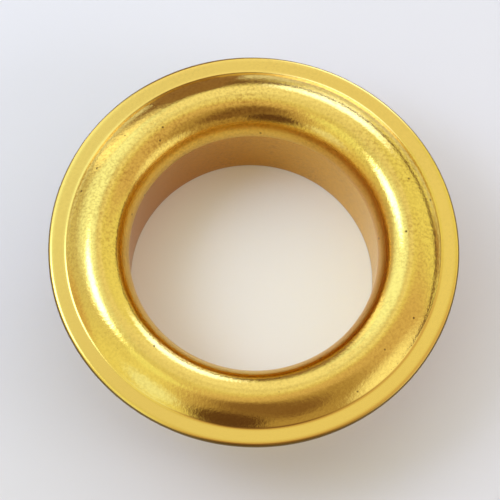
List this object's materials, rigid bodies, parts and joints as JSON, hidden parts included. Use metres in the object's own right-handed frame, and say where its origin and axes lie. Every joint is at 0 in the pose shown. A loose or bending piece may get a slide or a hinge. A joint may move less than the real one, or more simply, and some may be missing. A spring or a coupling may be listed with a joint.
{
  "type": "grommet eyelet",
  "caption": "Brass eyelet half of a grommet: a short open barrel drawn into a rounded bead and a flat brim, to line a hole in cloth or sheet.",
  "frame": {"origin": "centre of the barrel's cut end, the face that the eyelet stands on", "axes": "+Z along the bore axis, from the barrel's cut end towards the bead; X and Y are free because the part is round"},
  "size_m": [0.023, 0.023, 0.0068],
  "materials": {
    "drawn_brass": "drawn sheet brass, satin on the bead with fine orange peel, smooth and brighter on the pressed brim"
  },
  "bodies": {
    "root": {"eyelet": "drawn_brass"}
  },
  "joints": []
}
